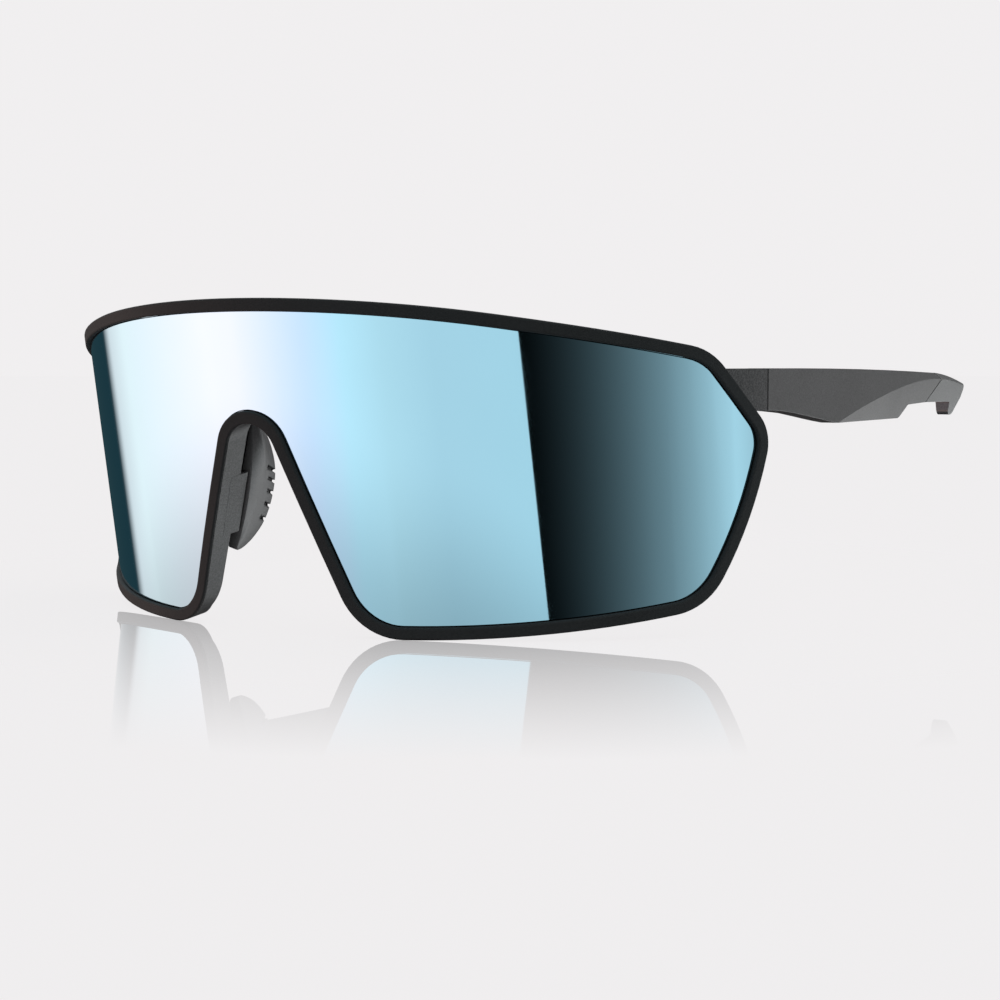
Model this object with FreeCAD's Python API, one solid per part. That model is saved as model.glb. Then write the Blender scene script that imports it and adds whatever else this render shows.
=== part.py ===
import FreeCAD, Part
import math
import os
from FreeCAD import Base

# One-piece shield glasses: a mirrored cylindrical lens in a two-part full rim, two folding
# temples with rubber tips, and a pair of nose pads.  Millimetres.
# Finished frame: +X is the wearer's left, +Y runs back along the temples, +Z is up.  The origin
# is on the surface that the glasses rest on, under the middle of their bounding box.
# The front is drawn unrolled: s is measured round the face from the middle plane and h is the
# height along the face.  D is the depth behind the bezel's face, towards the wearer.

V = Base.Vector

# ---- front: driving dimensions ----
FACE_R = 78.0             # radius of the bezel's face, a cylinder about an upright axis
TILT = 9.75               # pantoscopic tilt: the bottom of the front is nearer the wearer
TOP_H = 16.85             # height of the brow at the middle plane
BROW_R = 203.0            # bow of the brow over the middle
BROW_END = 45.0           # s where the flatter outer bow takes over
OUTER_BROW_R = 400.0
TEMPLE_CORNER = (80.7, 2.3)      # where the brow would meet the slanted side
KNEE = (92.3, -13.6)             # where the slanted side would meet the cheek
CHEEK_CENTRE = (21.6, 9.12)
CHEEK_R = 74.5
BOTTOM_H = -41.4          # lowest height of the front, at s = BOTTOM_S
BOTTOM_S = 58.0
BOTTOM_R = 780.0          # slight bow of the bottom edge
NOSE_LEAN = 0.3762        # sideways run of the nose line for each mm down
NOSE_OFFSET = 2.07        # s of the nose line at h = 0
ARCH_H = -9.2             # height of the nose arch's centre
TEMPLE_CORNER_R = 12.0
KNEE_R = 7.0
CHEEK_CORNER_R = 12.0
NOSE_CORNER_R = 11.5

# ---- front: rim section, as (inset from the outline, depth D) ----
RIM_W = 2.1               # width of the black face
LIP_D = 0.36              # thickness of the bezel's lip over the frame's rim
SHOULDER = 0.92           # inset of the lens edge
LENS_D = 0.85             # how far the lens sits behind the bezel's face
LENS_T = 1.7
STEP_D = 1.45             # depth of the step in the lens edge that the bezel's lip clamps
FRAME_W = 3.1             # inset of the inner edge of the rear frame's flange behind the lens
FRAME_D = 5.0             # depth of the rear frame's back
DRAFT = 0.75              # how far the frame's outer wall leans in over its depth
NOSE_D = 6.0              # the same two round the nose, where the wall is deeper and steeper
NOSE_DRAFT = 0.3
NOSE_BACK = 5.6           # the nose wall ends in a flat plane this far behind the front,
NOSE_FLAT = 17.0          # out to this half width, then slopes back
NOSE_BLEND = 27.0         # to meet the rest of the frame at this half width
GAP = 0.05                # clearance between pieces that are clipped or bonded together
BOND = 0.02               # gap round an insert that is moulded in
ROOM = 60.0               # more than any piece reaches: length of the shapes that trim it

# ---- hinge ----
SEAM = V(70.0, 53.4, 0)   # outer end of the joint line between end piece and temple
ARM_TOP = 5.17
ARM_BOTTOM = -1.93
AXIS_X = 66.5
AXIS_Y = 55.9
KNUCKLE_R = 2.1
KNUCKLE_H = 2.32          # height of each of the end piece's two knuckles
PLAY = 0.15               # gap between faces that slide past each other
SEAM_GAP = 0.5            # open joint line, at the hinge and before the rubber tip
SWING_GAP = 0.3           # gap round a knuckle
SCREW_R = 0.7
HEAD_R = 1.3
HEAD_H = 0.85
BUSH_R = 1.15
INSERT_R = 1.2
FIT = 0.03                # radial clearance of the running fit

# ---- temple ----
CONVERGE = 3.0            # degrees that each temple leans in towards its tip
ARM_T = 3.4               # thickness behind the hinge
TIP_T = 5.0               # thickness of the rubber tip at its end
HINGE_T = 5.6             # thickness beside the hinge
ARM_END = (102.4, 2.53)   # point of the arrow-shaped end of the arm, as (along, up)
SEAM_FOOT = (95.4, -2.25)
CORE_R = 0.6
CORE_START = 50.0
CORE_END = 113.0
CORE_H = 0.3
TANG = (92.0, 107.0)      # stretch of the arm's tang inside the rubber tip

# ---- nose pads ----
PAD_STAND = 1.1           # how far a pad stands in from the nose line
PAD_T = 2.35
PAD_SPLAY = 11.3          # degrees that the pads open towards the wearer
PAD_FRONT = 8.2           # depth of the pad's front edge
PAD_H = -17.0             # height of the pad's origin
CARRIER_T = 1.2
CARRIER_SCALE = 0.76     # size of the carrier plate against the pad
LUG_D = 8.2               # depth of the lug that holds each pad
LUG_BACK = 7.6            # plane in which the lugs end
PAD_GAP = 0.15            # free space between the lug and the pad
GROOVES = 5
GROOVE_PITCH = 2.55
GROOVE_LEAN = 28          # degrees that the pads' grooves fall towards the rear


# ---------- outline of the front, unrolled ----------
class Side:
    """A straight run of the outline, with the object on the right of p to q."""

    def __init__(self, p, q):
        self.p = Base.Vector2d(*p)
        run = math.hypot(q[0] - p[0], q[1] - p[1])
        self.inward = ((q[1] - p[1]) / run, -(q[0] - p[0]) / run)

    def depth(self, x, y):
        return (x - self.p.x) * self.inward[0] + (y - self.p.y) * self.inward[1]

    def normal(self, x, y):
        return self.inward


class Bow:
    """A round run of the outline, hollow = -1 where the object is outside the circle."""

    def __init__(self, cx, cy, r, hollow=1):
        self.cx, self.cy, self.r, self.hollow = cx, cy, r, hollow

    def depth(self, x, y):
        return self.hollow * (self.r - math.hypot(x - self.cx, y - self.cy))

    def normal(self, x, y):
        away = math.hypot(x - self.cx, y - self.cy)
        return (self.hollow * (self.cx - x) / away, self.hollow * (self.cy - y) / away)


def corner(before, after, radius, near):
    """Round corner: a Bow whose centre is one radius inside both neighbours (Newton's rule)."""
    x, y = near
    for step in range(30):
        ax, ay = before.normal(x, y)
        bx, by = after.normal(x, y)
        ra = radius - before.depth(x, y)
        rb = radius - after.depth(x, y)
        det = ax * by - ay * bx
        x += (ra * by - rb * ay) / det
        y += (ax * rb - bx * ra) / det
    return Bow(x, y, radius)


def foot(curve, x, y):
    nx, ny = curve.normal(x, y)
    d = curve.depth(x, y)
    return (x - nx * d, y - ny * d)


def half_outline():
    """Right half of the outline, clockwise from the brow's middle to the nose arch's middle,
    as (curve, start, end)."""
    brow = Bow(0, TOP_H - BROW_R, BROW_R)
    lean = math.asin(BROW_END / BROW_R)
    join = (BROW_END, brow.cy + BROW_R * math.cos(lean))
    outer = Bow(join[0] - OUTER_BROW_R * math.sin(lean), join[1] - OUTER_BROW_R * math.cos(lean),
                OUTER_BROW_R)
    slant = Side(TEMPLE_CORNER, KNEE)
    cheek = Bow(CHEEK_CENTRE[0], CHEEK_CENTRE[1], CHEEK_R)
    bottom = Bow(BOTTOM_S, BOTTOM_H + BOTTOM_R, BOTTOM_R)
    nose = Side((NOSE_OFFSET - NOSE_LEAN * BOTTOM_H, BOTTOM_H),
                (NOSE_OFFSET - NOSE_LEAN * ARCH_H, ARCH_H))
    arch = Bow(0, ARCH_H, abs(nose.depth(0, ARCH_H)), hollow=-1)
    c1 = corner(outer, slant, TEMPLE_CORNER_R, (72.0, -6.0))
    c2 = corner(slant, cheek, KNEE_R, (85.0, -14.0))
    c3 = corner(cheek, bottom, CHEEK_CORNER_R, (72.0, -31.0))
    c4 = corner(bottom, nose, NOSE_CORNER_R, (26.0, -30.0))
    runs = [(brow, (0, TOP_H), join)]
    spots = [join]
    for c, before, after in ((c1, outer, slant), (c2, slant, cheek), (c3, cheek, bottom),
                             (c4, bottom, nose)):
        start = foot(before, c.cx, c.cy)
        end = foot(after, c.cx, c.cy)
        runs.append((before, spots[-1], start))
        runs.append((c, start, end))
        spots.append(end)
    touch = foot(nose, 0, ARCH_H)
    runs.append((nose, spots[-1], touch))
    runs.append((arch, touch, (0, ARCH_H + arch.r)))
    return runs


HALF = half_outline()


def inset_edge(curve, start, end, w, mirror):
    """One run of the outline, moved w into the object, as an edge in the unrolled plane."""
    ends = []
    for p in (start, end):
        nx, ny = curve.normal(*p)
        ends.append(V(p[0] + nx * w, p[1] + ny * w, 0))
    if isinstance(curve, Bow):
        mid = V((ends[0].x + ends[1].x) / 2 - curve.cx, (ends[0].y + ends[1].y) / 2 - curve.cy, 0)
        mid.normalize()
        mid = mid * (curve.r - curve.hollow * w) + V(curve.cx, curve.cy, 0)
        ends.insert(1, mid)
    if mirror:
        ends = [V(-p.x, p.y, 0) for p in reversed(ends)]
    if len(ends) == 3:
        return Part.Arc(*ends).toShape()
    return Part.LineSegment(*ends).toShape()


def outline_edges(w):
    right = [inset_edge(c, p, q, w, False) for c, p, q in HALF]
    left = [inset_edge(c, p, q, w, True) for c, p, q in reversed(HALF)]
    return right + left


def cylinder_at(depth):
    face = Part.Cylinder()
    face.Center = V(0, FACE_R, 0)
    face.Axis = V(0, 0, 1)
    face.Radius = FACE_R - depth
    return face


def roll(edge, depth):
    """Wrap an edge of the unrolled plane onto the cylinder at that depth."""
    flat = edge.Curve.toBSpline(edge.FirstParameter, edge.LastParameter)
    poles = [Base.Vector2d(1.5 * math.pi + p.x / FACE_R, p.y) for p in flat.getPoles()]
    curve = Part.Geom2d.BSplineCurve2d()
    curve.buildFromPolesMultsKnots(poles, flat.getMultiplicities(), flat.getKnots(), False,
                                   flat.Degree, flat.getWeights())
    return curve.toShape(cylinder_at(depth))


def walls(stations, edges_at, closed):
    loops = [[roll(e, d) for e in edges_at(w)] for w, d in stations]
    pairs = list(zip(loops, loops[1:]))
    if closed:
        pairs.append((loops[-1], loops[0]))
    faces = [Part.makeRuledSurface(a, b) for one, two in pairs for a, b in zip(one, two)]
    return loops, faces


def to_solid(faces):
    shell = Part.Shell(faces)
    if not shell.isClosed():
        shell.sewShape()
    solid = Part.Solid(shell)
    if solid.Volume < 0:
        solid.reverse()
    return solid


def rim(stations, edges_at=outline_edges):
    """A ring that follows the outline; stations are its section's corners in order."""
    return to_solid(walls(stations, edges_at, True)[1])


def sheet(stations, edges_at=outline_edges):
    """A filled sheet between its first and last station."""
    loops, faces = walls(stations, edges_at, False)
    for loop, (w, d) in ((loops[0], stations[0]), (loops[-1], stations[-1])):
        cap = Part.Face(cylinder_at(d), Part.Wire(Part.__sortEdges__(loop)))
        cap.validate()
        faces.append(cap)
    return to_solid(faces)


# ---------- small helpers ----------
def tilt(shape):
    done = shape.copy()
    done.rotate(V(0, 0, 0), V(1, 0, 0), TILT)
    return done


def across(shape):
    """The same piece on the wearer's other side."""
    return shape.mirror(V(0, 0, 0), V(1, 0, 0))


def block(x0, x1, y0, y1, z0, z1):
    return Part.makeBox(x1 - x0, y1 - y0, z1 - z0, V(x0, y0, z0))


def post(x, y, r, z0, z1):
    return Part.makeCylinder(r, z1 - z0, V(x, y, z0))


def curve_through(points):
    line = Part.BSplineCurve()
    line.interpolate(points)
    return line.toShape()


def poly_edges(points):
    return [Part.LineSegment(a, b).toShape() for a, b in zip(points, points[1:])]


def face_of(edges):
    return Part.Face(Part.Wire(edges))


# ---------- front pieces ----------
def make_lens():
    ease = 0.14
    back = LENS_D + LENS_T
    face = RIM_W + GAP
    return sheet([(face + ease, LENS_D), (face, LENS_D + ease), (face, STEP_D),
                  (SHOULDER, STEP_D), (SHOULDER, back - ease), (SHOULDER + ease, back)])


def make_bezel():
    seat = STEP_D - GAP
    return rim([(0, LIP_D), (0, 0.25), (0.07, 0.07), (0.25, 0), (RIM_W - 0.3, 0),
                (RIM_W - 0.08, 0.08), (RIM_W, 0.3), (RIM_W, seat), (SHOULDER, seat),
                (SHOULDER, LIP_D)])


def frame_ring(back, draft):
    seat = LENS_D + LENS_T + GAP
    ease = 0.25
    return rim([(0.12, LIP_D + 0.1), (0, LIP_D + 0.24), (draft, back - ease), (draft + ease, back),
                (FRAME_W - ease, back), (FRAME_W, back - ease), (FRAME_W, seat),
                (SHOULDER - 0.06, seat), (SHOULDER - 0.06, LIP_D + 0.1)])


def nose_wall_inset(depth):
    """How far the nose wall has leant in at that depth."""
    start = LIP_D + 0.24
    return NOSE_DRAFT * (depth - start) / (NOSE_D - 0.25 - start)


def behind_nose():
    """The space behind the nose wall, which the frame's back leaves free."""
    reach = FACE_R - FRAME_D
    meet = FACE_R - math.sqrt(reach ** 2 - NOSE_BLEND ** 2)
    back = meet + 3
    plan = [V(-NOSE_BLEND, meet, 0), V(-NOSE_FLAT, NOSE_BACK, 0), V(NOSE_FLAT, NOSE_BACK, 0),
            V(NOSE_BLEND, meet, 0), V(NOSE_BLEND, back, 0), V(-NOSE_BLEND, back, 0)]
    space = face_of(poly_edges(plan + plan[:1])).extrude(V(0, 0, ROOM))
    space.translate(V(0, 0, -ROOM))
    return space


def lug_edges(near):
    """Outline of the thickened stretch of the nose wall that holds a pad."""
    low, high = PAD_H - 7.6, PAD_H + 3.0
    far = FRAME_W - 0.3
    cosine = 1 / math.hypot(1, NOSE_LEAN)
    points = []
    for h, inward in ((high, near), (high, far), (low, far), (low, near), (high, near)):
        points.append(V(NOSE_OFFSET - NOSE_LEAN * h + inward / cosine, h, 0))
    return poly_edges(points)


def end_piece():
    """Moulded end of the rear frame, from behind the rim to the hinge."""
    outer = Part.Arc(V(66.0, 40.6, 0), V(68.75, 46.9, 0), SEAM).toShape()
    inner = Part.Arc(V(AXIS_X - KNUCKLE_R, SEAM.y, 0), V(62.9, 47.4, 0), V(60.9, 41.8, 0)).toShape()
    plan = face_of([outer, Part.LineSegment(SEAM, V(AXIS_X - KNUCKLE_R, SEAM.y, 0)).toShape(),
                    inner, Part.LineSegment(V(60.9, 41.8, 0), V(66.0, 40.6, 0)).toShape()])
    plan.translate(V(0, 0, ARM_BOTTOM))
    body = plan.extrude(V(0, 0, ARM_TOP - ARM_BOTTOM))
    inside = Part.makeCylinder(FACE_R - LIP_D - 0.1, 2 * ROOM, V(0, FACE_R, -ROOM))
    body = body.common(tilt(inside))
    pocket = sheet([(SHOULDER - 0.06, -2.0), (SHOULDER - 0.06, LENS_D + LENS_T + GAP)])
    body = body.cut(tilt(pocket))
    for z0 in (ARM_BOTTOM, ARM_TOP - KNUCKLE_H):
        z1 = z0 + KNUCKLE_H
        body = body.fuse(block(AXIS_X - KNUCKLE_R, AXIS_X + KNUCKLE_R, SEAM.y - 1, AXIS_Y, z0, z1))
        body = body.fuse(post(AXIS_X, AXIS_Y, KNUCKLE_R, z0, z1))
    body = body.cut(post(AXIS_X, AXIS_Y, KNUCKLE_R + SWING_GAP, ARM_BOTTOM + KNUCKLE_H,
                         ARM_TOP - KNUCKLE_H))
    body = body.cut(post(AXIS_X, AXIS_Y, SCREW_R + FIT, ARM_BOTTOM + 0.3, ARM_TOP + 1))
    body = body.cut(post(AXIS_X, AXIS_Y, HEAD_R + 0.1, ARM_TOP - HEAD_H - 0.1, ARM_TOP + 1))
    body = body.cut(post(AXIS_X, AXIS_Y, INSERT_R + 0.01, ARM_BOTTOM + 0.3,
                         ARM_BOTTOM + KNUCKLE_H - 0.1))
    return body


def make_rear_frame(stem):
    seat = LENS_D + LENS_T + GAP
    frame = frame_ring(FRAME_D, DRAFT)
    nose = frame_ring(NOSE_D, NOSE_DRAFT).common(block(-NOSE_BLEND, NOSE_BLEND, -ROOM, ROOM, -ROOM, 0))
    frame = frame.fuse(nose).cut(behind_nose())
    proud = 0.02
    lug = sheet([(nose_wall_inset(d) - proud, d) for d in (seat + 0.3, LUG_D)], lug_edges)
    lug = lug.common(block(0, NOSE_BLEND, 0, LUG_BACK, -ROOM, 0))
    for piece in (lug, across(lug)):
        frame = frame.fuse(piece)
    for piece in (pad_room(), stem):
        frame = frame.cut(piece).cut(across(piece))
    frame = tilt(frame)
    end = end_piece()
    for piece in (end, across(end)):
        frame = frame.fuse(piece)
    return frame.removeSplitter()


# ---------- nose pads ----------
def pad_plan(scale):
    """Side view of a pad in its own plane: straight in front, full and round behind."""
    run = [(0, -12.0), (2.4, -12.8), (6.2, -12.0), (9.2, -9.6), (10.3, -5.4), (9.8, 0.2),
           (7.8, 5.4), (4.6, 10.1), (1.9, 13.2), (0, 13.6)]
    points = [V(0, y * scale, z * scale) for y, z in run]
    return face_of([curve_through(points), Part.LineSegment(points[-1], points[0]).toShape()])


def in_pad_frame(shape):
    """Lean the pad along the nose line, splay it and stand it in from the rim."""
    done = shape.copy()
    done.rotate(V(0, 0, 0), V(0, 0, 1), -PAD_SPLAY)
    done.rotate(V(0, 0, 0), V(0, 1, 0), -math.degrees(math.atan(NOSE_LEAN)))
    inner = NOSE_OFFSET - NOSE_LEAN * PAD_H - PAD_STAND
    done.translate(V(inner, PAD_FRONT, PAD_H))
    return done


def make_pad():
    pad = pad_plan(1).extrude(V(PAD_T, 0, 0))
    for i in range(GROOVES):
        z = 1.35 - GROOVE_PITCH * i
        reach = 10.3 - 0.045 * (z + 5.0) ** 2
        groove = block(-0.5, 0.5, -1.3, 3, -0.18, 0.18)
        groove.rotate(V(0, 0, 0), V(1, 0, 0), -GROOVE_LEAN)
        groove.translate(V(0, reach - 1.2, z))
        pad = pad.cut(groove)
    return in_pad_frame(pad)


def pad_room():
    """Space kept free for a pad and its carrier, so the lug ends just in front of them."""
    size = 16.0
    return in_pad_frame(block(-3, size, -PAD_GAP, size, -size, size))


def make_carrier():
    plate = pad_plan(CARRIER_SCALE).extrude(V(CARRIER_T, 0, 0))
    plate.translate(V(PAD_T + BOND, 0, 0))
    return plate


def stem_block(grow):
    return block(PAD_T + BOND - grow, PAD_T + BOND + CARRIER_T + grow, -2.0 - grow, 2.2,
                 -5.0 - grow, 2.8 + grow)


# ---------- temples, drawn with the outer face on X = 0 and the seam at Y = 0 ----------
def place_temple(shape):
    done = shape.copy()
    done.rotate(V(0, 0, 0), V(0, 0, 1), CONVERGE)
    done.translate(SEAM)
    return done


def at(y, z):
    return V(0, y, z)


def thickness_slab():
    """Plan view of a temple as a tall slab: thick at the hinge, thin at the tip."""
    plan = [(0, -2), (0, 125), (-TIP_T, 125), (-ARM_T, 95), (-ARM_T, 14), (-HINGE_T, 6),
            (-HINGE_T, -2), (0, -2)]
    points = [V(x, y, -ROOM) for x, y in plan]
    return face_of(poly_edges(points)).extrude(V(0, 0, 2 * ROOM))


def shave(body, points, lean):
    """Cut a facet: everything outside a surface that runs in from a line on the outer face."""
    line = curve_through(points)
    facet = line.extrude(lean * 15)
    return body.cut(facet.extrude(V(12, 0, 0)))


CREASE = [at(28, -7.0), at(36.5, -4.95), at(57, -1.25), at(80, 1.75), at(102.4, 2.6),
          at(112, 1.9), at(124, 0.4)]


def faceted(body):
    return shave(body, CREASE, V(-0.27, 0, -0.963))


def core_rod(grow):
    z0 = CORE_H
    rod = Part.makeCylinder(CORE_R + grow, CORE_END - CORE_START + grow,
                            V(-1.75, CORE_START, z0), V(0, 1, 0))
    return rod


def tang_block(grow):
    return block(-2.4 - grow, -1.3 + grow, TANG[0], TANG[1] + grow, -0.9 - grow, 1.9 + grow)


def swing_space():
    """Room in the temple for the end piece's knuckles, round outside and open inside."""
    r = KNUCKLE_R + SWING_GAP
    turn = Part.Arc(V(AXIS_X + r, AXIS_Y, -20), V(AXIS_X + r * math.sqrt(0.5),
                    AXIS_Y + r * math.sqrt(0.5), -20), V(AXIS_X, AXIS_Y + r, -20)).toShape()
    edges = poly_edges([V(40, AXIS_Y + r, -20), V(40, 40, -20), V(AXIS_X + r, 40, -20),
                        V(AXIS_X + r, AXIS_Y, -20)])
    edges = edges + [turn, Part.LineSegment(V(AXIS_X, AXIS_Y + r, -20),
                                            V(40, AXIS_Y + r, -20)).toShape()]
    return face_of(edges).extrude(V(0, 0, 40))


def make_temple():
    top = Part.Arc(at(-2, 5.18), at(52.8, 4.84), at(96.6, 3.96)).toShape()
    belly = curve_through([at(36.5, -5.0), at(28, -4.2), at(21.4, -3.5), at(13.5, -2.68),
                           at(6.7, -2.14), at(-2, -1.93)])
    edges = [top]
    edges += poly_edges([at(96.6, 3.96), at(*ARM_END), at(*SEAM_FOOT), at(84.0, -2.5)])
    edges.append(Part.Arc(at(84.0, -2.5), at(82.7, -2.72), at(82.0, -3.2)).toShape())
    edges.append(Part.LineSegment(at(82.0, -3.2), at(79.4, -4.75)).toShape())
    edges.append(Part.Arc(at(79.4, -4.75), at(78.7, -5.07), at(77.5, -5.2)).toShape())
    edges.append(Part.LineSegment(at(77.5, -5.2), at(36.5, -5.0)).toShape())
    edges.append(belly)
    edges.append(Part.LineSegment(at(-2, -1.93), at(-2, 5.18)).toShape())
    arm = face_of(edges)
    arm.translate(V(-9, 0, 0))
    arm = arm.extrude(V(18, 0, 0)).common(thickness_slab())
    arm = faceted(arm)
    arm = arm.fuse(tang_block(0)).cut(core_rod(BOND))
    arm = place_temple(arm)
    keep = block(40, 90, SEAM.y + SEAM_GAP, 200, -30, 30)
    arm = arm.common(keep)
    low = ARM_BOTTOM + KNUCKLE_H + PLAY
    high = ARM_TOP - KNUCKLE_H - PLAY
    arm = arm.cut(swing_space())
    tongue = block(AXIS_X - KNUCKLE_R + 0.1, AXIS_X + KNUCKLE_R, AXIS_Y, AXIS_Y + 4, low, high)
    tongue = tongue.fuse(post(AXIS_X, AXIS_Y, KNUCKLE_R, low, high))
    arm = arm.fuse(tongue)
    arm = arm.cut(post(AXIS_X, AXIS_Y, BUSH_R + 0.01, -20, 20))
    return arm.removeSplitter()


def make_tip():
    upper = curve_through([at(96.6, 3.96), at(103.6, 3.5), at(111.5, 2.57), at(118.2, 1.5)])
    edges = [upper, Part.Arc(at(118.2, 1.5), at(119.4, 0.7), at(119.5, -0.35)).toShape()]
    edges.append(Part.LineSegment(at(119.5, -0.35), at(119.2, -1.6)).toShape())
    edges.append(Part.LineSegment(at(119.2, -1.6), at(116.6, -4.9)).toShape())
    edges.append(Part.Arc(at(116.6, -4.9), at(114.5, -5.25), at(113.1, -4.3)).toShape())
    edges.append(Part.LineSegment(at(113.1, -4.3), at(112.6, -3.0)).toShape())
    edges.append(Part.Arc(at(112.6, -3.0), at(112.35, -2.55), at(111.7, -2.4)).toShape())
    edges += poly_edges([at(111.7, -2.4), at(*SEAM_FOOT), at(*ARM_END), at(96.6, 3.96)])
    tip = face_of(edges)
    tip.translate(V(-9, 0, 0))
    tip = tip.extrude(V(18, 0, 0)).common(thickness_slab())
    tip = faceted(tip)
    tip.translate(V(0, SEAM_GAP, 0))
    tip = tip.cut(tang_block(0.03)).cut(core_rod(BOND))
    return place_temple(tip)


# ---------- hinge hardware ----------
def make_screw():
    foot_z = ARM_BOTTOM + 0.35
    body = post(AXIS_X, AXIS_Y, SCREW_R, foot_z, ARM_TOP - HEAD_H)
    head = post(AXIS_X, AXIS_Y, HEAD_R, ARM_TOP - HEAD_H, ARM_TOP - 0.1)
    head = head.makeFillet(0.25, [e for e in head.Edges if abs(e.BoundBox.ZMin - ARM_TOP + 0.1) < 0.01
                                  and e.BoundBox.XLength > 1])
    slot = block(AXIS_X - 2, AXIS_X + 2, AXIS_Y - 0.18, AXIS_Y + 0.18, ARM_TOP - 0.45, ARM_TOP + 1)
    return body.fuse(head).cut(slot)


def make_insert():
    top = ARM_BOTTOM + KNUCKLE_H - 0.12
    body = post(AXIS_X, AXIS_Y, INSERT_R, ARM_BOTTOM + 0.32, top)
    return body.cut(post(AXIS_X, AXIS_Y, SCREW_R + 0.01, -20, 20))


def make_bush():
    low = ARM_BOTTOM + KNUCKLE_H + PLAY
    high = ARM_TOP - KNUCKLE_H - PLAY
    body = post(AXIS_X, AXIS_Y, BUSH_R, low, high)
    return body.cut(post(AXIS_X, AXIS_Y, SCREW_R + FIT, -20, 20))


# ---------- assembly ----------
lens = make_lens()
bezel = make_bezel()
carrier_stem = in_pad_frame(stem_block(FIT))
frame = make_rear_frame(carrier_stem)
carrier = make_carrier().fuse(stem_block(0))
pad_core = Part.makeCylinder(0.35, 13.0, V(PAD_T + 0.62, 2.9, -8.6))
carrier = carrier.cut(Part.makeCylinder(0.36, 13.02, V(PAD_T + 0.62, 2.9, -8.61)))

one_sided = {
    "nose_pad_carrier": tilt(in_pad_frame(carrier.removeSplitter())),
    "nose_pad_core": tilt(in_pad_frame(pad_core)),
    "nose_pad": tilt(make_pad()),
    "temple": make_temple(),
    "temple_core": place_temple(core_rod(0)),
    "temple_tip": make_tip(),
    "hinge_screw": make_screw(),
    "hinge_insert": make_insert(),
    "hinge_bush": make_bush(),
}

nodes = {"lens": tilt(lens), "front_bezel": tilt(bezel), "rear_frame": frame}
for name, shape in one_sided.items():
    nodes[name + "_left"] = shape
    nodes[name + "_right"] = across(shape)

box = Base.BoundBox()
for shape in nodes.values():
    box.add(shape.optimalBoundingBox(False))
shift = V(0, -(box.YMin + box.YMax) / 2, -box.ZMin)

os.makedirs("parts", exist_ok=True)
for name, shape in nodes.items():
    shape.translate(shift)
    size = shape.BoundBox
    print("%-24s valid %s solids %d volume %8.1f  box %.1f %.1f %.1f" % (
        name, shape.isValid(), len(shape.Solids), shape.Volume, size.XLength, size.YLength,
        size.ZLength))
    shape.exportStep("parts/" + name + ".step")
print("shift", shift, "size", box.XLength, box.YLength, box.ZLength)
print("hinge axis", AXIS_X, AXIS_Y + shift.y)
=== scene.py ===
import math

import bmesh
import bpy
from mathutils import Matrix, Vector


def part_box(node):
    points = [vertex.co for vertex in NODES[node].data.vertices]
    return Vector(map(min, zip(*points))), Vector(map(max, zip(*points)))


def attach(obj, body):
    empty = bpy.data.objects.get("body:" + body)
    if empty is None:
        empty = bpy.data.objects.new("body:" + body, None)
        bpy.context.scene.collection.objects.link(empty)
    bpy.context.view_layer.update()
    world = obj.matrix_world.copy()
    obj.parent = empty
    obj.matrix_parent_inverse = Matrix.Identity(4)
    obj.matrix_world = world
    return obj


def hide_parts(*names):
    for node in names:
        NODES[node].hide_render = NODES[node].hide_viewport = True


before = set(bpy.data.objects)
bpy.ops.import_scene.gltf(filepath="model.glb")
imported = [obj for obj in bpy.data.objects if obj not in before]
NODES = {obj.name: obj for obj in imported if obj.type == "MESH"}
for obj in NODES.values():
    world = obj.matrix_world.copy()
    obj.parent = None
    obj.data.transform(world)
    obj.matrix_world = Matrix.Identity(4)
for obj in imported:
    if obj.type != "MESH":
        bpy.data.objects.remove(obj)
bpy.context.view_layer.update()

# One-piece shield glasses on a plain pale table, seen from the wearer's left and a little above.
# Metres, in the frame's own coordinates: +X is the wearer's left, +Y runs back along the temples.
MM = 0.001

# ---- camera ----
CAMERA_AZIMUTH = 31.71    # degrees round from the front towards the wearer's left
CAMERA_ELEVATION = 3.97
CAMERA_DISTANCE = 0.400
CAMERA_AIM = Vector((-0.00016, -0.00435, 0.01811))
FOCAL_LENGTH = 72.0

# ---- nose pads, in a pad's own plane and in millimetres ----
# x is through the pad from the nose side, y runs back and z is up.
TILT = math.radians(9.75)         # of the whole front
PAD_LEAN = math.atan(0.3762)      # of the nose's sides, seen from the front
PAD_SPLAY = math.radians(11.3)    # of the pads, seen from above
PAD_T = 2.35                      # from the pad's back to its nose side
PAD_REAR = ((0, -12.0), (2.4, -12.8), (6.2, -12.0), (9.2, -9.6), (10.3, -5.4), (9.8, 0.2),
            (7.3, 5.4), (3.9, 10.1), (1.6, 13.1), (0, 13.6))
PAD_FRONT = ((0, 10.5), (0, 7.0), (0, 3.0), (0, -1.0), (0, -5.0), (0, -9.0))
PAD_MIDDLE = Vector((4.6, 0.0))
PAD_SWELL = -0.3                  # x of the crown's top
RIM_X = 0.05                      # x of the crown's rim at RIM_Z, where it is nearest the nose
RIM_Z = -4.5
RIM_BOW = 0.0075                  # how fast the rim falls back above and below that
EDGE_POINTS = 420
SPLINE_STEPS = 40
CROWN_RINGS = 44

# ---- grooves across the rear edge of a pad ----
GROOVES = 5
GROOVE_PITCH = 2.55
GROOVE_LEAN = math.radians(28)
GROOVE_TOP = 1.35                 # z of the highest groove's middle
GROOVE_BOW = 0.045                # the grooves' middles lie on an arc: its bow,
GROOVE_BOW_Y = 9.1                # its rearmost y
GROOVE_BOW_Z = -5.0               # and the z of that
GROOVE_START = (-2.7, -2.2)       # along the groove: depth rises from none to full
GROOVE_SIDE = (0.16, 0.3)         # across it: depth falls from full to none
GROOVE_IN_WALL = 0.5              # depth in the pad's side
GROOVE_IN_FACE = 0.6              # depth in its crowned face

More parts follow.
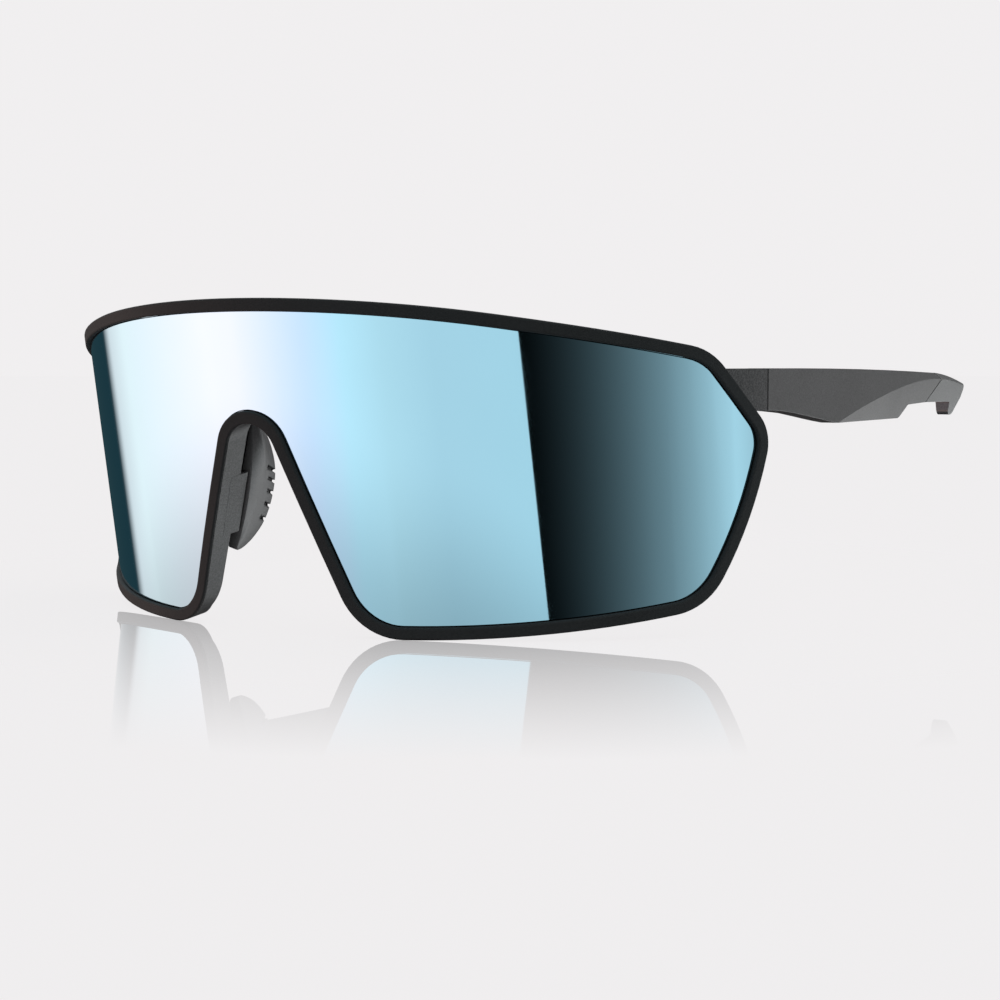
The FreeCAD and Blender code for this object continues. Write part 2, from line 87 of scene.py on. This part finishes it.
# ---- colours ----
PALE = (0.877, 0.863, 0.870)      # backdrop and table
MIRROR_TINT = (0.376, 0.658, 0.791)
SMOKE = (0.012, 0.016, 0.02)      # inside of the lens

# ---- surfaces ----
SEAM_SHADE_REACH = 0.8 * MM     # reach of the painted shade: surfaces closer together than this are painted darker, as shade falls in a seam
EDGE_SOFT = 0.12 * MM     # radius to which light sees an edge as rounded
CLOUD = 12 * MM           # size of the slow uneven patches

# ---- studio; azimuths run from -180 to 180 degrees, as the camera's does ----
SOFT_AZIMUTH = 110        # side from which the soft light is strongest
# What stands round the glasses, as their reflections see it: azimuth and colour.
LAMPS = (
    (-180, (0.3, 0.3, 0.3)), (-163, (0.02, 0.02, 0.02)), (-150, (0.02, 0.02, 0.02)),
    (-142, (0.02, 0.05, 0.06)), (-107, (0.02, 0.05, 0.06)), (-102, (1.30, 1.03, 0.96)),
    (-92, (1.75, 1.33, 1.20)), (-54, (2.5, 1.49, 1.38)), (-43, (2.45, 1.46, 1.38)),
    (-20, (1.60, 1.22, 1.32)), (-9, (1.26, 1.25, 1.25)), (3, (1.10, 1.09, 1.08)),
    (17, (0.98, 0.99, 1.0)), (60, (0.94, 1.0, 1.01)), (110, (0.95, 0.98, 0.98)),
    (125, (0.97, 0.97, 0.97)), (158, (0.97, 0.97, 0.97)), (180, (0.3, 0.3, 0.3)))
FLAG_EDGE = 35.1          # azimuth of the dark flag's sharp edge, level with the glasses
FLAG_SLANT = -0.359       # how far that edge moves for each degree up
FLAG_FADE = (30, 100)     # azimuths over which the flag fades out
LAMP_TOP = (3, 12)        # elevations over which the lamps give way to the plain tent
REAR_START = (100, 122)   # azimuths over which the light from behind takes over
REAR_BRIGHT = 3.0
REAR_DIM = 0.3

# ---- table ----
TABLE_R = 6.0
TABLE_GLOW = 0.88         # share of the table that is lit evenly, whatever falls on it
TABLE_BOUNCE = 0.4        # how much of that even light reaches the undersides of the glasses
MIRROR_STRENGTH = 0.5
MIRROR_FADE = (0.07, 0.175)       # distances from the middle over which the mirroring fades
MIRROR_VIEW = (0.55, 0.84)        # how grazing the view is where the mirroring comes in


# ---------- node helpers ----------
def new_material(name):
    material = bpy.data.materials.new(name)
    material.use_nodes = True
    shader = material.node_tree.nodes["Principled BSDF"]
    return material, material.node_tree, shader


def add(tree, kind, **settings):
    """A node; settings are its properties, or its inputs where no property has that name."""
    made = tree.nodes.new("ShaderNode" + kind)
    for key, value in settings.items():
        if hasattr(made, key):
            setattr(made, key, value)
        else:
            put(tree, value, made.inputs[key])
    return made


def put(tree, value, socket):
    """Link an output to the socket, or set the socket's own value."""
    if isinstance(value, bpy.types.NodeSocket):
        tree.links.new(value, socket)
    else:
        socket.default_value = value


def calc(tree, operation, *values):
    made = tree.nodes.new("ShaderNodeMath")
    made.operation = operation
    for value, socket in zip(values, made.inputs):
        put(tree, value, socket)
    return made.outputs[0]


def ramp(tree, value, low, high, out_low=0.0, out_high=1.0, smooth=True):
    """value from low..high carried to out_low..out_high, clamped."""
    made = tree.nodes.new("ShaderNodeMapRange")
    made.interpolation_type = "SMOOTHSTEP" if smooth else "LINEAR"
    limits = {"From Min": low, "From Max": high, "To Min": out_low, "To Max": out_high}
    for key, number in limits.items():
        put(tree, number, made.inputs[key])
    put(tree, value, made.inputs["Value"])
    return made.outputs["Result"]


def mix_colour(tree, factor, a, b, mode="MIX"):
    made = tree.nodes.new("ShaderNodeMix")
    made.data_type = "RGBA"
    made.blend_type = mode
    put(tree, factor, made.inputs["Factor"])
    put(tree, a, made.inputs["A"])
    put(tree, b, made.inputs["B"])
    return made.outputs["Result"]


def rgba(colour, gain=1.0):
    return (colour[0] * gain, colour[1] * gain, colour[2] * gain, 1.0)


# ---------- materials ----------
def moulded(name, colour, spread, grain, roughness, depth, specular, sheen=(1, 1, 1)):
    """Moulded plastic or rubber: a fine blasted grain, slow uneven patches, soft edges, and painted
    shade darkening it in seams and corners.

    The grain has a size, a depth and a spread of lightness; sheen tints what it reflects.
    """
    material, tree, shader = new_material(name)
    place = add(tree, "TexCoord").outputs["Object"]
    fine = add(tree, "TexNoise", Vector=place, Scale=1 / grain, Detail=3.0, Roughness=0.6)
    slow = add(tree, "TexNoise", Vector=place, Scale=1 / CLOUD, Detail=2.0, Roughness=0.5)
    speck = ramp(tree, fine.outputs["Fac"], 0.3, 0.7)
    cloud = ramp(tree, slow.outputs["Fac"], 0.25, 0.75)
    tone = calc(tree, "ADD", calc(tree, "MULTIPLY", speck, 0.9), calc(tree, "MULTIPLY", cloud, 0.1))
    shade = mix_colour(tree, tone, rgba(colour, 1 - spread), rgba(colour, 1 + spread))
    # painted shade: ambient occlusion darkens the colour and dims the specular where surfaces meet in
    # seams and inner corners
    crevice_shade = add(tree, "AmbientOcclusion", samples=6, Distance=SEAM_SHADE_REACH).outputs["AO"]
    crevice_shade = ramp(tree, crevice_shade, 0.25, 0.75)
    shade = mix_colour(tree, 1.0, shade, crevice_shade, "MULTIPLY")
    tree.links.new(shade, shader.inputs["Base Color"])
    tree.links.new(ramp(tree, cloud, 0, 1, roughness - 0.02, roughness + 0.02),
                   shader.inputs["Roughness"])
    tree.links.new(calc(tree, "MULTIPLY", crevice_shade, specular), shader.inputs["Specular IOR Level"])
    shader.inputs["Specular Tint"].default_value = rgba(sheen)
    soft = add(tree, "Bevel", samples=4, Radius=EDGE_SOFT)
    bump = add(tree, "Bump", Strength=0.6, Distance=depth, Height=fine.outputs["Fac"])
    tree.links.new(soft.outputs["Normal"], bump.inputs["Normal"])
    tree.links.new(bump.outputs["Normal"], shader.inputs["Normal"])
    return material


def metal(name, colour, roughness):
    """Turned metal with fine rings of tool marks about the upright axis."""
    material, tree, shader = new_material(name)
    place = add(tree, "TexCoord").outputs["Object"]
    stretch = add(tree, "Mapping", Vector=place, Scale=(1, 1, 12))
    marks = add(tree, "TexNoise", Vector=stretch.outputs["Vector"], Scale=3000, Detail=3.0)
    shade = mix_colour(tree, marks.outputs["Fac"], rgba(colour, 0.8), rgba(colour, 1.1))
    tree.links.new(shade, shader.inputs["Base Color"])
    tree.links.new(ramp(tree, marks.outputs["Fac"], 0.3, 0.7, roughness - 0.08, roughness + 0.1),
                   shader.inputs["Roughness"])
    bump = add(tree, "Bump", Strength=0.3, Distance=0.01 * MM, Height=marks.outputs["Fac"])
    tree.links.new(bump.outputs["Normal"], shader.inputs["Normal"])
    shader.inputs["Metallic"].default_value = 1.0
    return material


def mirror_lens():
    """Polycarbonate shield: a pale blue mirror coat outside, dark smoke within."""
    material, tree, shader = new_material("lens_mirror_coat")
    coords = add(tree, "TexCoord")
    facing = add(tree, "SeparateXYZ", Vector=coords.outputs["Normal"]).outputs["Y"]
    outside = ramp(tree, facing, -0.05, -0.2)
    clouds = add(tree, "TexNoise", Vector=coords.outputs["Object"], Scale=60, Detail=2.0)
    coat = mix_colour(tree, clouds.outputs["Fac"], rgba(MIRROR_TINT, 0.985), rgba(MIRROR_TINT, 1.015))
    tree.links.new(mix_colour(tree, outside, rgba(SMOKE), coat), shader.inputs["Base Color"])
    tree.links.new(outside, shader.inputs["Metallic"])
    haze = ramp(tree, clouds.outputs["Fac"], 0.2, 0.8, 0.02, 0.04)
    tree.links.new(haze, shader.inputs["Roughness"])
    return material


MATERIALS = {
    "lens": mirror_lens(),
    "bezel": moulded("bezel_matte_black", (0.0145, 0.0145, 0.0147), spread=0.4, grain=0.16 * MM,
                     roughness=0.6, depth=0.008 * MM, specular=0.14, sheen=(0.6, 0.92, 1.0)),
    "frame": moulded("frame_grey", (0.044, 0.044, 0.045), spread=0.6, grain=0.28 * MM,
                     roughness=0.45, depth=0.02 * MM, specular=0.25, sheen=(0.85, 0.97, 1.0)),
    "grey": moulded("blasted_grey", (0.049, 0.049, 0.05), spread=0.6, grain=0.3 * MM,
                    roughness=0.3, depth=0.02 * MM, specular=0.55, sheen=(0.88, 0.97, 1.0)),
    "carrier": moulded("carrier_plastic", (0.02, 0.02, 0.021), spread=0.15, grain=0.15 * MM,
                       roughness=0.5, depth=0.006 * MM, specular=0.25),
    "rubber": moulded("pad_rubber_soft", (0.075, 0.075, 0.077), spread=0.3, grain=0.18 * MM,
                      roughness=0.45, depth=0.01 * MM, specular=0.33, sheen=(0.85, 0.97, 1.0)),
    "tip": moulded("tip_rubber_grey", (0.06, 0.061, 0.062), spread=0.5, grain=0.26 * MM,
                   roughness=0.3, depth=0.02 * MM, specular=0.9, sheen=(0.9, 0.98, 1.0)),
    "steel": metal("steel_turned", (0.55, 0.55, 0.54), roughness=0.3),
    "brass": metal("brass_turned", (0.62, 0.47, 0.24), roughness=0.32),
}
FINISH = {
    "lens": "lens", "front_bezel": "bezel", "rear_frame": "frame", "nose_pad_carrier": "carrier",
    "nose_pad_core": "steel", "nose_pad": "rubber", "temple": "grey", "temple_core": "steel",
    "temple_tip": "tip", "hinge_screw": "steel", "hinge_insert": "brass", "hinge_bush": "brass",
}


def dress():
    """Put a finish on every slot of the CAD's pieces."""
    for name, node in NODES.items():
        kind = name.removesuffix("_left").removesuffix("_right")
        for slot in node.material_slots:
            slot.material = MATERIALS[FINISH[kind]]


# ---------- nose pads ----------
def round_loop(points, count):
    """Even points on a smooth closed curve through the given ones (Catmull and Rom's spline)."""
    dense = []
    total = len(points)
    for i in range(total):
        a, b, c, d = (Vector(points[(i + k - 1) % total]) for k in range(4))
        for j in range(SPLINE_STEPS):
            t = j / SPLINE_STEPS
            dense.append(0.5 * (2 * b + (c - a) * t + (2 * a - 5 * b + 4 * c - d) * t * t
                                + (3 * b - a - 3 * c + d) * t ** 3))
    steps = [(dense[(i + 1) % len(dense)] - p).length for i, p in enumerate(dense)]
    gap = sum(steps) / count
    loop, run = [], 0.0
    for p, step in zip(dense, steps):
        while len(loop) < count and run >= gap * len(loop):
            loop.append(p)
        run += step
    return loop


def smooth_step(value, low, high):
    t = min(max((value - low) / (high - low), 0), 1)
    return t * t * (3 - 2 * t)


def groove_at(y, z):
    """How deep a pad's grooves are at that place, 0 to 1."""
    depth = 0
    for i in range(GROOVES):
        z0 = GROOVE_TOP - GROOVE_PITCH * i
        y0 = GROOVE_BOW_Y - GROOVE_BOW * (z0 - GROOVE_BOW_Z) ** 2
        along = (y - y0) * math.cos(GROOVE_LEAN) - (z - z0) * math.sin(GROOVE_LEAN)
        aside = (y - y0) * math.sin(GROOVE_LEAN) + (z - z0) * math.cos(GROOVE_LEAN)
        inside = 1 - smooth_step(abs(aside), *GROOVE_SIDE)
        depth = max(depth, smooth_step(along, *GROOVE_START) * inside)
    return depth


def pad_section():
    """Rings of a pad from the middle of its back to the middle of its crown.  A ring is its
    size and its place from the back (0) to the rim of the cushion side (1) and the crown (2)."""
    rings = [(0.4, 0), (0.8, 0), (0.95, 0), (0.985, 0.05), (1.0, 0.15), (1.0, 0.5), (1.0, 0.85),
             (0.998, 0.94)]
    for i in range(CROWN_RINGS):
        size = 0.99 * math.cos(math.pi / 2 * i / CROWN_RINGS) ** 0.7
        rings.append((size, 2 - size ** 2.6))
    return rings


def pad_depth(place, z):
    """x at that place of the section; the rim falls back towards both ends of the pad."""
    rim = RIM_X + RIM_BOW * (z - RIM_Z) ** 2
    if place < 1:
        return PAD_T + (rim - PAD_T) * place
    return rim + (PAD_SWELL - rim) * (place - 1)


def pad_place(node):
    """Matrix that carries a pad's own plane, in millimetres, to the node's place."""
    turn = (Matrix.Rotation(TILT, 4, "X") @ Matrix.Rotation(-PAD_LEAN, 4, "Y")
            @ Matrix.Rotation(-PAD_SPLAY, 4, "Z") @ Matrix.Scale(MM, 4))
    corners = [turn @ Vector((x, y, z)) for x in (0, PAD_T) for y, z in PAD_REAR]
    low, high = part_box(node)
    shift = []
    for axis in range(3):
        values = [c[axis] for c in corners]
        shift.append((low[axis] + high[axis] - min(values) - max(values)) / 2)
    return Matrix.Translation(shift) @ turn


def pad_points(edge):
    """Points of a pad: the middle of its back, its rings, and the top of its crown."""
    points = [Vector((PAD_T, *PAD_MIDDLE))]
    for size, depth in pad_section():
        wall = smooth_step(size, 0.9, 1.0) * smooth_step(depth, 0.1, 0.4)
        face = depth > 0.9
        for p in edge:
            out = (p - PAD_MIDDLE) * size
            y, z = PAD_MIDDLE + out
            cut = groove_at(y, z)
            y, z = Vector((y, z)) - out.normalized() * cut * wall * GROOVE_IN_WALL
            points.append(Vector((pad_depth(depth, z) + cut * face * GROOVE_IN_FACE, y, z)))
    points.append(Vector((PAD_SWELL, *PAD_MIDDLE)))
    return points


def ring_faces(rings, count):
    """Faces of a closed form: rings of count points between a first and a last point."""
    faces = []
    for ring in range(rings - 1):
        for i in range(count):
            a = 1 + ring * count + i
            b = 1 + ring * count + (i + 1) % count
            faces.append((a, b, b + count, a + count))
    last = 1 + rings * count
    for i in range(count):
        j = (i + 1) % count
        faces.append((0, 1 + j, 1 + i))
        faces.append((last, last - count + i, last - count + j))
    return faces


def face_outwards(mesh):
    form = bmesh.new()
    form.from_mesh(mesh)
    bmesh.ops.recalc_face_normals(form, faces=form.faces)
    form.to_mesh(mesh)
    form.free()


def nose_pads():
    """A crowned rubber cushion on each side of the nose, with grooves across its rear edge."""
    edge = round_loop(PAD_REAR + PAD_FRONT, EDGE_POINTS)
    faces = ring_faces(len(pad_section()), len(edge))
    place = pad_place("nose_pad_left")
    spots = [place @ p for p in pad_points(edge)]
    for side, mirror in (("left", 1), ("right", -1)):
        mesh = bpy.data.meshes.new("pad_" + side)
        mesh.from_pydata([(p.x * mirror, p.y, p.z) for p in spots], [], faces)
        face_outwards(mesh)
        mesh.shade_smooth()
        mesh.materials.append(MATERIALS["rubber"])
        pad = bpy.data.objects.new("nose_cushion_" + side, mesh)
        bpy.context.scene.collection.objects.link(pad)
        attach(pad, "front")
        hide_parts("nose_pad_" + side)


# ---------- studio ----------
def sweep(tree, azimuth, stops):
    """Colour by compass direction, in degrees; stops are (azimuth, colour)."""
    made = tree.nodes.new("ShaderNodeValToRGB")
    points = made.color_ramp.elements
    while len(points) < len(stops):
        points.new(0.5)
    for point, (angle, colour) in zip(points, stops):
        point.position = (angle + 180) / 360
        point.color = rgba(colour)
    tree.links.new(ramp(tree, azimuth, -180, 180, smooth=False), made.inputs["Fac"])
    return made.outputs["Color"]


def lamp_side(tree, azimuth, height):
    """What reflections see ahead and to the sides: the lamps, with a dark flag in front of
    them whose near edge is sharp and whose far edge fades out, under a plain tent."""
    edge = calc(tree, "ADD", FLAG_EDGE, calc(tree, "MULTIPLY", height, FLAG_SLANT))
    lit = calc(tree, "LESS_THAN", calc(tree, "SUBTRACT", azimuth, edge), 0)
    flag = calc(tree, "POWER", ramp(tree, azimuth, *FLAG_FADE, smooth=False), 3.0)
    flag = calc(tree, "MAXIMUM", flag, lit)
    floor_line = ramp(tree, azimuth, -90, 0, -15, -25, smooth=False)
    fade = ramp(tree, calc(tree, "SUBTRACT", height, floor_line), -1.5, 5, 0.6, 1.0)
    shade = calc(tree, "MULTIPLY", flag, fade)
    low = mix_colour(tree, 1.0, sweep(tree, azimuth, LAMPS), shade, "MULTIPLY")
    return mix_colour(tree, ramp(tree, height, *LAMP_TOP), low, (1.0, 1.0, 1.0, 1))


def rear_side(tree, height):
    """What reflections see behind: a dim wall and floor, with light between them and overhead."""
    wall = calc(tree, "MULTIPLY", ramp(tree, height, -16, -9), ramp(tree, height, 60, 35))
    wall = calc(tree, "MAXIMUM", wall, ramp(tree, height, -30, -50))
    return ramp(tree, wall, 0, 1, REAR_BRIGHT, REAR_DIM)


def soft_light(tree, way):
    """The light that falls on dull surfaces, strongest from SOFT_AZIMUTH and from above."""
    aside = calc(tree, "MULTIPLY", way.outputs["X"], math.sin(math.radians(SOFT_AZIMUTH)))
    ahead = calc(tree, "MULTIPLY", way.outputs["Y"], -math.cos(math.radians(SOFT_AZIMUTH)))
    level = ramp(tree, calc(tree, "ADD", aside, ahead), -1, 1, 0.1, 1.7, smooth=False)
    above = ramp(tree, way.outputs["Z"], 0, 1, 0.8, 1.25, smooth=False)
    return calc(tree, "MULTIPLY", level, above)


def studio_light():
    """A pale light tent with its lamps: plain to the camera and to the table's mirroring,
    patterned in what the glasses reflect, and soft for everything else."""
    world = bpy.data.worlds.new("studio")
    bpy.context.scene.world = world
    world.use_nodes = True
    tree = world.node_tree
    tree.nodes.clear()
    way = add(tree, "SeparateXYZ", Vector=add(tree, "TexCoord").outputs["Generated"])
    to_degrees = 180 / math.pi
    azimuth = calc(tree, "ARCTAN2", way.outputs["X"], calc(tree, "MULTIPLY", way.outputs["Y"], -1))
    azimuth = calc(tree, "MULTIPLY", azimuth, to_degrees)
    height = calc(tree, "MULTIPLY", calc(tree, "ARCSINE", way.outputs["Z"]), to_degrees)
    behind = ramp(tree, azimuth, *REAR_START)
    glossy = mix_colour(tree, behind, lamp_side(tree, azimuth, height), rear_side(tree, height))
    rays = add(tree, "LightPath")
    seen = mix_colour(tree, rays.outputs["Is Glossy Ray"], soft_light(tree, way), glossy)
    plain = calc(tree, "MAXIMUM", rays.outputs["Is Camera Ray"], rays.outputs["Is Singular Ray"])
    seen = mix_colour(tree, plain, seen, rgba(PALE))
    glow = add(tree, "Background", Color=seen, Strength=1.0)
    out = add(tree, "OutputWorld")
    tree.links.new(glow.outputs["Background"], out.inputs["Surface"])


def table_surface():
    """Pale and almost shadowless, with a mirroring that fades away from the glasses."""
    material, tree, shader = new_material("pale_table")
    tree.nodes.remove(shader)
    place = add(tree, "TexCoord").outputs["Object"]
    away = add(tree, "VectorMath", operation="LENGTH")
    tree.links.new(place, away.inputs[0])
    low_view = ramp(tree, add(tree, "LayerWeight", Blend=0.5).outputs["Facing"], *MIRROR_VIEW)
    sheen = ramp(tree, away.outputs["Value"], *MIRROR_FADE, MIRROR_STRENGTH, 0.0, smooth=False)
    sheen = calc(tree, "MULTIPLY", sheen, low_view)
    matte = add(tree, "BsdfDiffuse", Color=rgba(PALE, 0.925))
    lights = ramp(tree, add(tree, "LightPath").outputs["Is Diffuse Ray"], 0, 1, 1.0, TABLE_BOUNCE)
    glow = add(tree, "Emission", Color=rgba(PALE), Strength=lights)
    dull = add(tree, "MixShader", Fac=TABLE_GLOW)
    tree.links.new(matte.outputs[0], dull.inputs[1])
    tree.links.new(glow.outputs[0], dull.inputs[2])
    gloss = add(tree, "BsdfGlossy", Color=(1, 1, 1, 1), Roughness=0.0)
    both = add(tree, "MixShader", Fac=sheen)
    tree.links.new(dull.outputs[0], both.inputs[1])
    tree.links.new(gloss.outputs[0], both.inputs[2])
    tree.links.new(both.outputs[0], tree.nodes["Material Output"].inputs["Surface"])
    return material


def table():
    """A plain round table, far wider than the view."""
    bpy.ops.mesh.primitive_circle_add(vertices=96, radius=TABLE_R, fill_type="NGON")
    top = bpy.context.object
    top.name = "table"
    top.visible_glossy = False    # reflections see the studio below the table instead
    top.data.materials.append(table_surface())


def camera():
    data = bpy.data.cameras.new("camera")
    data.lens = FOCAL_LENGTH
    data.clip_start = 0.01
    data.clip_end = 100
    eye = bpy.data.objects.new("camera", data)
    bpy.context.scene.collection.objects.link(eye)
    azimuth = math.radians(CAMERA_AZIMUTH)
    elevation = math.radians(CAMERA_ELEVATION)
    back = Vector((math.sin(azimuth) * math.cos(elevation), -math.cos(azimuth) * math.cos(elevation),
                   math.sin(elevation)))
    eye.location = CAMERA_AIM + back * CAMERA_DISTANCE
    eye.rotation_euler = back.to_track_quat("Z", "Y").to_euler()
    bpy.context.scene.camera = eye


def colour_management():
    settings = bpy.context.scene.view_settings
    settings.view_transform = "Standard"
    settings.look = "None"


dress()
nose_pads()
studio_light()
table()
camera()
colour_management()
